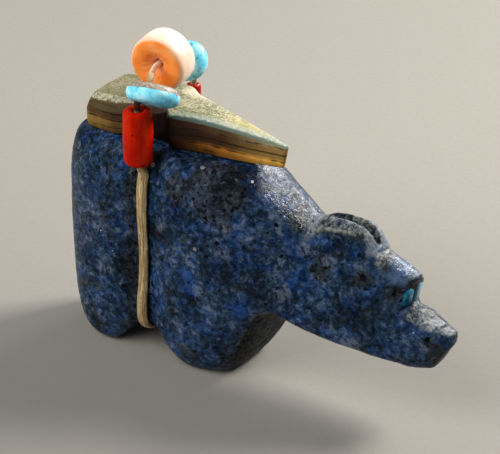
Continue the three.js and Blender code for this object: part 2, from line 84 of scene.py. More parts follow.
# Clouds and patches on the bear's right side: their places, in millimetres from the rump, the middle and
# the ground, and their reach.
DARK_PLACES = (
    ((20.0, -4.6, 20.9), 4.8),
    ((16.0, -5.2, 20.2), 2.6),
    ((27.8, -1.8, 18.6), 1.9),
    ((38.6, -1.8, 14.0), 1.3),
    ((35.4, -2.3, 14.6), 1.4),
    ((31.0, -2.6, 14.8), 1.8),
    # painted shade at the muzzle's end
    ((43.4, -1.3, 8.6), 1.6),
)
ROYAL_PLACES = (
    ((17.5, -5.9, 10.2), 2.2),
    ((16.4, -5.9, 14.1), 1.4),
    ((22.7, -5.4, 8.4), 2.4),
    ((28.5, -4.2, 12.6), 1.8),
)
CLOUDY_PLACES = (
    ((17.4, -5.9, 12.7), 0.8),
    ((21.5, -5.5, 14.6), 1.1),
    ((18.7, -5.8, 9.8), 1.0),
    ((27.5, -4.2, 11.6), 1.3),
    ((13.8, -5.4, 15.7), 1.0),
    ((29.2, -2.7, 16.2), 1.1),
    ((32.0, -2.6, 15.7), 1.2),
    ((7.0, -5.9, 8.7), 1.3),
    ((34.8, -3.1, 7.6), 1.4),
)

# Chips and specks in the same measures: the place, the radius and, for a chip, its ink. Each chip is a
# chipped spot in the stone, painted pale as a glint of light on it.
CHIP_GLINTS = (
    ((22.8, -2.3, 21.7), 0.16, (0.7, 0.72, 0.75, 1)),
    ((26.6, -2.3, 19.0), 0.15, (0.6, 0.62, 0.66, 1)),
    ((11.8, -3.6, 21.0), 0.34, (0.32, 0.33, 0.35, 1)),
    ((17.8, -3.6, 22.3), 0.3, (0.2, 0.23, 0.25, 1)),
    ((8.9, -5.3, 19.8), 0.14, (0.4, 0.45, 0.5, 1)),
    ((18.3, -5.8, 14.4), 0.24, (0.2, 0.19, 0.16, 1)),
)
JET = (0.001, 0.001, 0.002, 1)
JET_SPECKS = (
    ((42.5, -1.5, 10.0), 0.36),
    ((38.8, -1.8, 13.9), 0.34),
    ((39.4, -1.4, 13.1), 0.26),
    ((35.5, -2.3, 14.9), 0.38),
    ((35.9, -2.3, 13.8), 0.2),
    ((31.6, -2.7, 15.0), 0.22),
    ((34.9, -2.0, 17.1), 0.24),
    ((32.2, -2.2, 17.5), 0.22),
    ((26.2, -3.2, 18.3), 0.22),
    ((23.5, -4.9, 15.7), 0.24),
    ((19.7, -5.7, 14.0), 0.24),
    ((20.8, -5.5, 15.7), 0.26),
    ((21.0, -5.2, 2.9), 0.34),
    ((12.7, -5.1, 6.0), 0.22),
)


class Graph:
    """A node tree written as a chain of calls. A value is a number, a vector or another node's socket."""

    def __init__(self, tree):
        self.tree = tree

    def node(self, kind, inputs=None, **settings):
        """A new node with its settings and inputs, each input given by its name or number."""
        made = self.tree.nodes.new(kind)
        for name, value in settings.items():
            setattr(made, name, value)
        for key, value in (inputs or {}).items():
            self.feed(made.inputs[key], value)
        return made

    def feed(self, socket, value):
        """Links a socket to another, or sets its plain value."""
        if isinstance(value, bpy.types.NodeSocket):
            self.tree.links.new(value, socket)
        else:
            socket.default_value = value

    def math(self, operation, a, b=0.0):
        return self.node("ShaderNodeMath", {0: a, 1: b}, operation=operation).outputs[0]

    def plus(self, a, b):
        return self.math("ADD", a, b)

    def minus(self, a, b):
        return self.math("SUBTRACT", a, b)

    def times(self, a, b):
        return self.math("MULTIPLY", a, b)

    def swing(self, value, reach):
        """Turns a value from 0 to 1 into one that goes half a reach to both sides of 0."""
        return self.times(self.minus(value, 0.5), reach)

    def band(self, value, low, high, to_low=0.0, to_high=1.0):
        """A smooth step of a value between two limits."""
        inputs = {"Value": value, "From Min": low, "From Max": high, "To Min": to_low, "To Max": to_high}
        return self.node("ShaderNodeMapRange", inputs, interpolation_type="SMOOTHSTEP").outputs[0]

    def vector(self, operation, a, b):
        return self.node("ShaderNodeVectorMath", {0: a, 1: b}, operation=operation).outputs[0]

    def moved(self, place, x, y, z):
        return self.vector("ADD", place, (x, y, z))

    def stretched(self, place, x, y, z):
        return self.vector("MULTIPLY", place, (x, y, z))

    def scaled(self, vector, factor):
        inputs = {0: vector, "Scale": factor}
        return self.node("ShaderNodeVectorMath", inputs, operation="SCALE").outputs[0]

    def split(self, vector):
        return self.node("ShaderNodeSeparateXYZ", {0: vector}).outputs

    def join(self, x, y, z):
        return self.node("ShaderNodeCombineXYZ", {0: x, 1: y, 2: z}).outputs[0]

    def noise(self, place, per_mm, detail=3.0, roughness=0.55):
        inputs = {"Vector": place, "Scale": per_mm * PER_MM, "Detail": detail, "Roughness": roughness}
        return self.node("ShaderNodeTexNoise", inputs).outputs["Fac"]

    def cells(self, place, per_mm):
        """Scattered cells: how far each point is from the nearest one, and a number of that cell's own."""
        made = self.node("ShaderNodeTexVoronoi", {"Vector": place, "Scale": per_mm * PER_MM}).outputs
        return made["Distance"], self.node("ShaderNodeSeparateColor", {0: made["Color"]}).outputs[0]

    def spots(self, place, per_mm, radius, core, share, ragged):
        """Ragged round spots in a share of the cells, which fade out from their core to their radius."""
        distance, number = self.cells(place, per_mm)
        spot = self.band(self.plus(distance, ragged), radius, core)
        return self.times(spot, self.math("LESS_THAN", number, share))

    def mix(self, share, a, b, blend="MIX"):
        made = self.node("ShaderNodeMix", {0: share, 6: a, 7: b}, data_type="RGBA", blend_type=blend)
        return made.outputs[2]

    def ramp(self, value, *stops):
        """A colour that runs through stops, each a value with the red, green and blue that the eye sees."""
        made = self.node("ShaderNodeValToRGB", {0: value})
        scale = made.color_ramp
        while len(scale.elements) < len(stops):
            scale.elements.new(1.0)
        for element, (at, *colour) in zip(scale.elements, stops):
            element.position = at
            element.color = rgb(*colour)
        return made.outputs[0]

    def attribute(self, name):
        """A piece's own mark, read by a material."""
        return self.node("ShaderNodeAttribute", attribute_name=name).outputs["Fac"]

    def stored(self, name, kind="FLOAT"):
        """A mesh's own mark, read by a Geometry Nodes tree."""
        made = self.node("GeometryNodeInputNamedAttribute", {"Name": name}, data_type=kind)
        return next(s for s in made.outputs if s.name == "Attribute" and s.enabled)


def rgb(red, green, blue):
    """A colour given as the eye sees it, from 0 to 255, in the renderer's linear values."""
    steps = [value / 255 for value in (red, green, blue)]
    linear = [v / 12.92 if v <= 0.04045 else ((v + 0.055) / 1.055) ** 2.4 for v in steps]
    return (*linear, 1.0)


def new_material(name, **plain):
    """A material with one shader, whose plain values are set on its own sockets."""
    material = bpy.data.materials.new(name)
    material.use_nodes = True
    graph = Graph(material.node_tree)
    shader = material.node_tree.nodes["Principled BSDF"]
    for socket, value in plain.items():
        shader.inputs[socket.replace("_", " ")].default_value = value
    place = graph.node("ShaderNodeTexCoord").outputs["Object"]
    return material, graph, shader, place


def bump(graph, shader, height, depth, strength):
    """A fine relief of a given depth on the shader's normal."""
    inputs = {"Height": height, "Distance": depth, "Strength": strength}
    graph.feed(shader.inputs["Normal"], graph.node("ShaderNodeBump", inputs).outputs[0])


def stone_material():
    """Polished denim-blue stone: a fine mottle of ink, slate and ultramarine, with black and cream specks."""
    material, g, shader, place = new_material(
        "polished_blue_stone", Specular_IOR_Level=0.16, Coat_Weight=0.04, Coat_Roughness=0.18
    )
    wander = g.node("ShaderNodeTexNoise", {"Vector": place, "Scale": 0.9 * PER_MM, "Detail": 4.0})
    drift = g.scaled(g.vector("SUBTRACT", wander.outputs["Color"], (0.5, 0.5, 0.5)), 0.9 * MM)
    swirl = g.vector("ADD", place, drift)
    grains = g.noise(swirl, 1.6, detail=8.0, roughness=0.78)
    patches = g.noise(g.moved(swirl, 0.02, 0.03, 0.01), 0.27, detail=4.0, roughness=0.6)
    crystal = g.cells(swirl, 1.9)[1]
    tone = g.plus(g.plus(grains, g.swing(patches, 0.55)), g.swing(crystal, 0.12))

    colour = blue_mottle(g, swirl, tone)
    colour = dark_clouds(g, place, swirl, tone, colour)
    milky = g.noise(g.moved(swirl, 0.03, 0.09, 0.04), 0.7, detail=5.0, roughness=0.68)
    colour = g.mix(g.band(milky, 0.57, 0.72, 0, 0.6), colour, rgb(112, 122, 140))
    cloudy = g.times(g.attribute("cloudy"), g.band(grains, 0.42, 0.58, 0.0, 0.75))
    colour = g.mix(cloudy, colour, rgb(98, 107, 124))
    # painted reflection and highlight where the bear is marked pale
    pale = g.times(g.attribute("pale"), g.band(grains, 0.36, 0.6, 0.45, 1.0))
    colour = g.mix(g.times(pale, 0.7), colour, rgb(92, 118, 156))
    colour = g.mix(g.times(g.attribute("ground"), 0.85), colour, dusty_grey(g, place, patches))
    colour = specks(g, place, colour)
    # painted highlight: a pale line along each ear's crease and on the near ear's front
    crease = g.times(g.attribute("crease"), g.band(grains, 0.4, 0.56, 0.15, 0.7))
    g.feed(shader.inputs["Base Color"], g.mix(crease, colour, rgb(150, 152, 142)))
    stone_polish(g, shader, place)
    return material


def blue_mottle(g, swirl, tone):
    """Slate and navy in clouds, with patches of bright blue."""
    slate = g.ramp(tone, (0.34, 2, 10, 18), (0.47, 12, 32, 48), (0.58, 40, 60, 84), (0.72, 94, 106, 128))
    navy = g.ramp(tone, (0.34, 0, 10, 26), (0.47, 10, 36, 72), (0.58, 34, 63, 104), (0.72, 84, 102, 138))
    blue = g.noise(g.moved(swirl, 0.07, 0.01, 0.05), 0.5, detail=5.0, roughness=0.64)
    colour = g.mix(g.band(blue, 0.45, 0.6), slate, navy)
    royal = g.noise(g.moved(swirl, 0.01, 0.06, 0.02), 0.42, detail=5.0, roughness=0.62)
    royal = g.plus(royal, g.times(g.attribute("royal"), 0.2))
    bright = g.ramp(tone, (0.36, 6, 28, 70), (0.6, 34, 74, 138))
    return g.mix(g.band(royal, 0.62, 0.73, 0, 0.8), colour, bright)


def dark_clouds(g, place, swirl, tone, colour):
    """Grey-black clouds, and black clots that lie mostly in them. The clouds gather more where the bear is
    marked with dark places and painted shade.
    """
    gloom = g.noise(g.moved(swirl, 0.05, 0.02, 0.09), 0.33, detail=6.0, roughness=0.68)
    # the clouds deepen where painted shade is marked
    gloom = g.band(g.plus(gloom, g.times(g.attribute("clouds_and_painted_shade"), 0.24)), 0.54, 0.66)
    colour = g.mix(g.times(gloom, 0.8), colour, g.ramp(tone, (0.4, 12, 16, 18), (0.62, 50, 56, 58)))
    clots = g.band(g.noise(place, 1.7, detail=4.0, roughness=0.6), 0.55, 0.6)
    return g.mix(g.times(clots, g.plus(g.times(gloom, 0.85), 0.15)), colour, rgb(6, 8, 12))


def dusty_grey(g, place, patches):
    """The streaky grey of stone that is ground and not polished, made nearly black where it is marked darker,
    which on the chest and in the slot between the ears is painted shade.
    """
    strokes = g.noise(g.stretched(place, 1, 0.25, 1), 2.6, detail=5.0, roughness=0.7)
    level = g.plus(strokes, g.swing(patches, 0.5))
    dusty = g.ramp(level, (0.4, 24, 27, 26), (0.5, 84, 88, 83), (0.6, 150, 153, 148))
    return g.mix(g.attribute("darker_and_painted_shade"), dusty, g.mix(0.94, dusty, rgb(1, 1, 2)))


def specks(g, place, colour):
    """Small specks scattered all over, then the chips, painted pale as glints, and the jet specks that have
    places of their own.
    """
    for offset, per_mm, radius, share, ink in (
        ((0, 0, 0), 0.62, 0.13, 0.3, rgb(5, 6, 9)),
        ((0.011, 0.02, 0.03), 1.05, 0.16, 0.32, rgb(6, 8, 11)),
        ((0.04, 0.01, 0.02), 0.7, 0.07, 0.16, rgb(176, 172, 158)),
    ):
        shifted = g.moved(place, *offset)
        ragged = g.swing(g.noise(shifted, 2.4, detail=2.0), 0.16)
        colour = g.mix(g.spots(shifted, per_mm, radius, radius * 0.7, share, ragged), colour, ink)
    wobble = g.swing(g.noise(place, 2.2, detail=2.0), 0.3 * MM)
    for spot, radius, ink in (*CHIP_GLINTS, *((spot, radius, JET) for spot, radius in JET_SPECKS)):
        inputs = {0: place, 1: on_bear(spot)}
        off = g.node("ShaderNodeVectorMath", inputs, operation="DISTANCE").outputs["Value"]
        speck = g.band(g.plus(off, wobble), radius * MM, radius * 0.72 * MM)
        colour = g.mix(speck, colour, ink)
    return colour


def stone_polish(g, shader, place):
    """A polish that dulls where the stone is ground, with pits, grinding scratches and sparkling grains."""
    ground = g.attribute("ground")
    polish = g.band(g.noise(place, 1.1, detail=4.0), 0.35, 0.7, 0.26, 0.42)
    g.feed(shader.inputs["Roughness"], g.plus(polish, g.times(ground, 0.3)))
    pits = g.noise(place, 3.4, detail=4.0, roughness=0.75)
    scratches = g.noise(g.stretched(place, 1, 1, 0.18), 5.0, detail=3.0, roughness=0.7)
    bump(g, shader, g.plus(pits, g.times(scratches, g.times(ground, 0.8))), 0.15 * MM, 1.0)
    sparkle = g.noise(g.moved(place, 0.02, 0.05, 0.01), 2.6, detail=5.0, roughness=0.7)
    g.feed(shader.inputs["Specular IOR Level"], g.band(sparkle, 0.42, 0.62, 0.04, 0.34))


def layered_material():
    """Ground layered stone: a fine khaki face over olive, dark brown and amber layers."""
    material, g, shader, place = new_material(
        "layered_arrowhead_stone", Specular_IOR_Level=0.1, Coat_Weight=0.03, Coat_Roughness=0.25
    )
    low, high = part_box("arrowhead")
    x, _, z = g.split(place)
    along = g.math("DIVIDE", g.minus(x, low.x), high.x - low.x)
    height = g.math("DIVIDE", g.minus(z, low.z), high.z - low.z)
    wave = g.swing(g.noise(place, 0.22, detail=4.0), 0.24)
    level = g.plus(g.plus(height, wave), g.times(along, 0.08))
    up = g.split(g.node("ShaderNodeNewGeometry").outputs["Normal"])[2]
    facing = g.band(up, 0.62, 0.86)
    speckle = g.noise(place, 4.2, detail=5.0, roughness=0.75)

    colour = g.mix(facing, side_layers(g, place, along, level), khaki_face(g, place, along, speckle))
    colour = bevel_sheen_and_olive(g, along, up, speckle, colour)
    # painted shade in the near notch, tinged red as a painted reflection of the coral beside it
    g.feed(shader.inputs["Base Color"], g.mix(g.attribute("notch_shade"), colour, rgb(26, 9, 7)))
    g.feed(shader.inputs["Roughness"], g.band(facing, 0, 1, 0.38, 0.75))
    bump(g, shader, g.plus(speckle, g.times(level, 2.0)), 0.04 * MM, 0.7)
    return material


def side_layers(g, place, along, level):
    """The arrowhead's side: amber at its foot, then dark brown, then olive, with thin black lines between."""
    foot = g.ramp(along, (0.0, 136, 104, 50), (0.24, 104, 76, 38), (0.5, 66, 36, 18), (0.72, 170, 110, 38),
                  (0.96, 228, 174, 80))
    belt = g.ramp(along, (0.0, 88, 62, 34), (0.28, 66, 46, 28), (0.46, 40, 22, 14), (0.7, 60, 38, 22),
                  (1.0, 150, 118, 64))
    cap = g.ramp(along, (0.0, 92, 68, 38), (0.3, 72, 54, 34), (0.5, 56, 36, 22), (0.75, 84, 64, 42),
                 (1.0, 170, 154, 110))
    colour = g.mix(g.band(level, 0.32, 0.44), foot, belt)
    colour = g.mix(g.band(level, 0.64, 0.74), colour, cap)
    cloudy = g.noise(place, 0.55, detail=5.0, roughness=0.62)
    colour = g.mix(g.band(cloudy, 0.42, 0.66, 0, 0.45), colour, rgb(38, 24, 16))
    for line, width, least in ((0.16, 0.012, 0.0), (0.36, 0.018, 0.2), (0.54, 0.02, 0.8), (0.72, 0.018, 0.1)):
        off = g.math("ABSOLUTE", g.minus(level, line))
        vein = g.times(g.band(off, width * 1.6, width * 0.4), g.band(cloudy, 0.4, 0.56, least, 0.85))
        colour = g.mix(vein, colour, rgb(24, 16, 10))
    return colour


def khaki_face(g, place, along, speckle):
    """The arrowhead's top: speckled khaki, golden near the tip, browner at the stem, with a pale patch and a
    painted sheen along its near edge.
    """
    khaki = g.ramp(speckle, (0.38, 106, 102, 72), (0.5, 160, 155, 122), (0.62, 208, 203, 174))
    greenish = g.band(g.noise(place, 0.4, detail=3.0), 0.46, 0.6, 0, 0.6)
    khaki = g.mix(greenish, khaki, rgb(168, 182, 162), "MULTIPLY")
    golden = g.times(g.band(along, 0.6, 0.82), g.band(along, 0.98, 0.88))
    khaki = g.mix(g.times(golden, 0.4), khaki, rgb(196, 176, 96))
    khaki = g.mix(g.band(along, 0.36, 0.2, 0, 0.6), khaki, rgb(84, 74, 46))
    pale_patch = g.times(g.attribute("pale_patch"), g.band(speckle, 0.35, 0.5, 0.5, 1.0))
    khaki = g.mix(pale_patch, khaki, rgb(228, 216, 188))
    # painted sheen: a pale grey-green reflection along the blade's near edge
    painted_sheen = g.times(g.attribute("painted_sheen"), g.band(speckle, 0.3, 0.6, 0.35, 0.8))
    return g.mix(painted_sheen, khaki, rgb(166, 180, 174))


def bevel_sheen_and_olive(g, along, up, speckle, colour):
    """The bevels between top and side: a painted grey-green reflection on the blade, olive at the stem, and a
    painted highlight as a pale top line.
    """
    bevel = g.times(g.band(up, 0.15, 0.4), g.band(up, 0.97, 0.8))
    colour = g.mix(g.times(bevel, g.band(along, 0.32, 0.46, 0, 0.75)), colour, rgb(96, 116, 108))
    colour = g.mix(g.times(bevel, g.band(along, 0.36, 0.26, 0, 0.5)), colour, rgb(74, 68, 48))
    line = g.times(g.band(up, 0.8, 0.87), g.band(up, 0.95, 0.89))
    return g.mix(g.times(line, g.band(speckle, 0.35, 0.6, 0, 0.5)), colour, rgb(214, 214, 190))


def coral_material():
    """Polished red-orange coral with faint growth marks and a few dark pits."""
    material, g, shader, place = new_material(
        "polished_coral", Specular_IOR_Level=0.05, Coat_Weight=0.06, Coat_Roughness=0.12
    )
    clouds = g.noise(g.stretched(place, 1, 1, 0.35), 0.8, detail=4.0)
    colour = g.ramp(clouds, (0.34, 154, 12, 0), (0.52, 178, 22, 0), (0.68, 198, 42, 6))
    growth = g.band(g.noise(place, 3.2, detail=3.0), 0.56, 0.7, 0, 0.35)
    colour = g.mix(growth, colour, rgb(188, 58, 26))
    ragged = g.swing(g.noise(place, 3.0), 0.16)
    pits = g.spots(g.moved(place, 0.01, 0.02, 0.0), 1.1, 0.15, 0.09, 0.34, ragged)
    g.feed(shader.inputs["Base Color"], g.mix(pits, colour, rgb(40, 4, 2)))
    g.feed(shader.inputs["Roughness"], g.band(clouds, 0.3, 0.7, 0.26, 0.36))
    bump(g, shader, g.minus(g.times(clouds, 0.4), pits), 0.05 * MM, 0.5)
    return material


def turquoise_material():
    """Sky-blue turquoise with a grey-brown matrix on one face and darker blue mottles low on its rim."""
    material, g, shader, place = new_material(
        "tumbled_turquoise", Specular_IOR_Level=0.12, Coat_Weight=0.09, Coat_Roughness=0.12
    )
    clouds = g.noise(place, 0.8, detail=5.0, roughness=0.6)
    colour = g.ramp(clouds, (0.34, 84, 188, 226), (0.5, 126, 220, 244), (0.66, 188, 240, 248))
    flecks = g.noise(g.moved(place, 0.02, 0.01, 0.0), 2.2, detail=4.0, roughness=0.65)
    flecks = g.plus(flecks, g.times(g.attribute("under"), 0.12))
    colour = g.mix(g.band(flecks, 0.58, 0.68, 0, 0.75), colour, rgb(34, 96, 146))
    vein = g.noise(place, 2.8, detail=5.0, roughness=0.7)
    matrix = g.band(g.plus(g.attribute("matrix"), g.swing(vein, 1.1)), 0.4, 0.66)
    colour = g.mix(matrix, colour, g.ramp(vein, (0.38, 96, 84, 74), (0.6, 166, 154, 140)))
    g.feed(shader.inputs["Base Color"], colour)
    g.feed(shader.inputs["Roughness"], g.plus(g.times(matrix, 0.25), 0.28))
    bump(g, shader, g.minus(clouds, g.times(matrix, 0.4)), 0.05 * MM, 0.5)
    return material


def shell_material():
    """Spiny oyster shell: an orange face, a thin pale rim and a creamy white and peach side."""
    material, g, shader, place = new_material(
        "orange_white_shell",
        Specular_IOR_Level=0.12,
        Coat_Weight=0.05,
        Coat_Roughness=0.2,
        Subsurface_Weight=0.1,
        Subsurface_Radius=(0.7 * MM, 0.35 * MM, 0.2 * MM),
    )
    depth, radial = g.attribute("depth"), g.attribute("radial")
    soft = g.noise(place, 0.6, detail=5.0, roughness=0.6)
    orange = g.ramp(soft, (0.34, 236, 120, 38), (0.52, 244, 142, 62), (0.68, 247, 162, 96))
    orange = g.mix(g.band(radial, 0.42, 0.2, 0, 0.55), orange, rgb(238, 170, 134))
    wave = g.swing(soft, 0.34)
    side = g.ramp(g.plus(depth, wave), (0.05, 238, 196, 162), (0.3, 240, 210, 186), (0.55, 242, 224, 208))
    peach = g.band(g.noise(place, 0.9, detail=5.0, roughness=0.7), 0.5, 0.68, 0, 0.5)
    side = g.mix(peach, side, rgb(226, 178, 148))
    reach = g.band(g.plus(radial, g.times(wave, 0.08)), 0.94, 0.88)
    face = g.math("MAXIMUM", g.times(g.band(depth, 0.16, 0.08), reach), g.band(radial, 0.5, 0.4))
    # painted shade round the bore where the sinew goes in
    hole_shade = g.times(g.band(radial, 0.21, 0.15), g.band(depth, 0.02, 0.08))
    g.feed(shader.inputs["Base Color"], g.mix(hole_shade, g.mix(face, side, orange), rgb(84, 34, 14)))
    g.feed(shader.inputs["Roughness"], g.band(soft, 0.3, 0.7, 0.32, 0.44))
    bump(g, shader, g.noise(place, 2.4, detail=4.0), 0.03 * MM, 0.5)
    return material


def inlay_material():
    """Deep teal stone, highly polished, with a paler blue painted reflection of the sky on the far eye."""
    material, g, shader, place = new_material(
        "teal_inlay", Roughness=0.2, Specular_IOR_Level=0.3, Coat_Weight=0.25, Coat_Roughness=0.08
    )
    clouds = g.noise(place, 1.8, detail=5.0, roughness=0.6)
    colour = g.ramp(clouds, (0.36, 4, 74, 104), (0.5, 8, 96, 128), (0.64, 30, 136, 160))
    g.feed(shader.inputs["Base Color"], g.mix(g.attribute("painted_sky_reflection"), colour, rgb(104, 152, 172)))
    bump(g, shader, clouds, 0.03 * MM, 0.4)
    return material


def sinew_material():
    """Waxed straw-coloured sinew, streaked along its fibres, painted pale cream as lit where the shell is
    strung, and with painted shade where it runs under a bead.
    """
    material, g, shader, place = new_material(
        "straw_sinew", Roughness=0.46, Specular_IOR_Level=0.25, Coat_Weight=0.06, Coat_Roughness=0.3
    )
    course = g.join(g.times(g.attribute("strand"), 5 * MM), g.times(g.attribute("along"), 50 * MM), 0.0)
    streak = g.noise(course, 0.5, detail=4.0, roughness=0.6)
    colour = g.ramp(streak, (0.36, 108, 86, 54), (0.5, 152, 130, 92), (0.62, 202, 180, 142))
    stained = g.band(g.noise(place, 0.45, detail=3.0), 0.52, 0.66, 0, 0.4)
    colour = g.mix(stained, colour, rgb(136, 106, 62))
    # painted light: the sinew is painted pale cream where it is strung through the shell, as lit
    colour = g.mix(g.times(g.attribute("strung"), 0.9), colour, rgb(250, 224, 192))
    # painted shade on the sinew in the gap between the near coral tube and the turquoise above it
    g.feed(shader.inputs["Base Color"], g.mix(g.attribute("painted_shade_under_bead"), colour, rgb(58, 30, 16)))
    bump(g, shader, g.noise(place, 4.0, detail=3.0), 0.015 * MM, 0.5)
    return material


def with_bmesh(mesh, change):
    """Makes one change to a mesh."""
    bm = bmesh.new()
    bm.from_mesh(mesh)
    change(bm)
    bm.to_mesh(mesh)
    bm.free()


def merged_copy(node):
    """A CAD node's mesh with its loose triangles joined."""
    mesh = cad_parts[node].data.copy()
    mesh.materials.clear()
    with_bmesh(mesh, lambda bm: bmesh.ops.remove_doubles(bm, verts=bm.verts, dist=0.001 * MM))
    return mesh


def coordinates(mesh):
    """Where a mesh's vertices are, a row for each."""
    places = np.empty(len(mesh.vertices) * 3)
    mesh.vertices.foreach_get("co", places)
    return places.reshape(-1, 3)


def normals(mesh):
    """Which way the surface faces at each vertex."""
    ways = np.empty(len(mesh.vertices) * 3)
    mesh.vertex_normals.foreach_get("vector", ways)
    return ways.reshape(-1, 3)


def put(mesh, places):
    """Moves a mesh's vertices to new places."""
    mesh.vertices.foreach_set("co", places.ravel())
    mesh.update()


def mark(mesh, name, values):
    """Stores one number for each vertex, to be read by a material or a tree."""
    attribute = mesh.attributes.get(name) or mesh.attributes.new(name, "FLOAT", "POINT")
    attribute.data.foreach_set("value", np.broadcast_to(values, len(mesh.vertices)).astype(np.float32))


def step(values, low, high):
    """A smooth step of an array between two limits, which may run downwards."""
    share = np.clip((values - low) / (high - low), 0, 1)
    return share * share * (3 - 2 * share)


def unit(rows):
    """Rows of directions, each brought to length 1."""
    return rows / np.linalg.norm(rows, axis=1)[:, None]


def middle_of(node):
    """The middle of a CAD node's box."""
    low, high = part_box(node)
    return np.array((low + high) / 2)


def on_bear(spot):
    """A place given in millimetres from the bear's rump, middle and ground."""
    return Vector(spot) * MM + Vector((bear_low.x, 0, 0))


def around(places, spots):
    """How far each point is inside the nearest of some round places, from 0 to 1."""
    share = np.zeros(len(places))
    for spot, reach in spots:
        distance = np.linalg.norm(places - np.array(on_bear(spot)), axis=1)
        share = np.maximum(share, step(distance, reach * MM, 0.3 * reach * MM))
    return share


def evaluated(mesh, *stack):
    """The plain mesh that a stack of modifiers makes of another."""
    worker = bpy.data.objects.new("worker", mesh)
    bpy.context.scene.collection.objects.link(worker)
    for add in stack:
        add(worker)
    graph = bpy.context.evaluated_depsgraph_get()
    made = bpy.data.meshes.new_from_object(worker.evaluated_get(graph), depsgraph=graph)
    bpy.data.objects.remove(worker)
    return made


def voxels(size):
    """A modifier that makes one even skin of a mesh."""
    def add(worker):
        remesh = worker.modifiers.new("voxels", "REMESH")
        remesh.mode = "VOXEL"
        remesh.voxel_size = size
    return add


def subdivided(levels):
    """A modifier that rounds a mesh."""
    def add(worker):
        surface = worker.modifiers.new("subdivision", "SUBSURF")
        surface.levels = surface.render_levels = levels
    return add


def grown(mesh, tree, **values):
    """The plain mesh that a Geometry Nodes tree makes of another, given values for its named inputs."""
    def add(worker):
        modifier = worker.modifiers.new(tree.name, "NODES")
        modifier.node_group = tree
        for item in tree.interface.items_tree:
            if item.name in values:
                modifier[item.identifier] = values[item.name]
    return evaluated(mesh, add)


def geometry_tree(name, **sockets):
    """An empty Geometry Nodes tree with one geometry in and out and the named inputs."""
    tree = bpy.data.node_groups.new(name, "GeometryNodeTree")
    tree.interface.new_socket("Geometry", in_out="INPUT", socket_type="NodeSocketGeometry")
    for label, (kind, value) in sockets.items():
        socket = tree.interface.new_socket(label, in_out="INPUT", socket_type=f"NodeSocket{kind}")
        if value is not None:
            socket.default_value = value
    tree.interface.new_socket("Geometry", in_out="OUTPUT", socket_type="NodeSocketGeometry")
    graph = Graph(tree)
    return tree, graph, graph.node("NodeGroupInput").outputs


def close_tree(g, geometry, material):
    """The end of every tree: real geometry with its material."""
    real = g.node("GeometryNodeRealizeInstances", {"Geometry": geometry}).outputs[0]
    painted = g.node("GeometryNodeSetMaterial", {"Geometry": real, "Material": material}).outputs[0]
    g.node("NodeGroupOutput", {"Geometry": painted})


def surface_tree():
    """Softens a carved surface where it is marked soft, swells it, and gives it a fine relief."""
    tree, g, given = geometry_tree(
        "carved_surface",
        Rounds=("Int", 8),
        Broad=("Float", 0.0),
        Fine=("Float", 0.0),
        Swell=("Float", 0.0),
        Seed=("Float", 0.0),
        Material=("Material", None),
    )
    place = g.node("GeometryNodeInputPosition").outputs[0]
    blur = g.node("GeometryNodeBlurAttribute", {"Iterations": given["Rounds"]}, data_type="FLOAT_VECTOR")
    g.feed(next(s for s in blur.inputs if s.name == "Value" and s.type == "VECTOR"), place)
    g.feed(blur.inputs["Weight"], g.stored("soft"))
    smooth = next(s for s in blur.outputs if s.type == "VECTOR")
    inputs = {"Geometry": given["Geometry"], "Position": smooth}
    softened = g.node("GeometryNodeSetPosition", inputs).outputs[0]

    seeded = g.vector("ADD", place, g.join(g.times(given["Seed"], 0.013), 0.0, 0.0))
    broad = g.swing(g.noise(seeded, 0.35, detail=2.0), given["Broad"])
    fine = g.swing(g.noise(seeded, 2.2, detail=4.0, roughness=0.65), given["Fine"])
    height = g.plus(g.plus(broad, given["Swell"]), g.times(fine, g.stored("rough")))
    normal = g.node("GeometryNodeInputNormal").outputs[0]
    inputs = {"Geometry": softened, "Offset": g.scaled(normal, height)}
    close_tree(g, g.node("GeometryNodeSetPosition", inputs).outputs[0], given["Material"])
    return tree


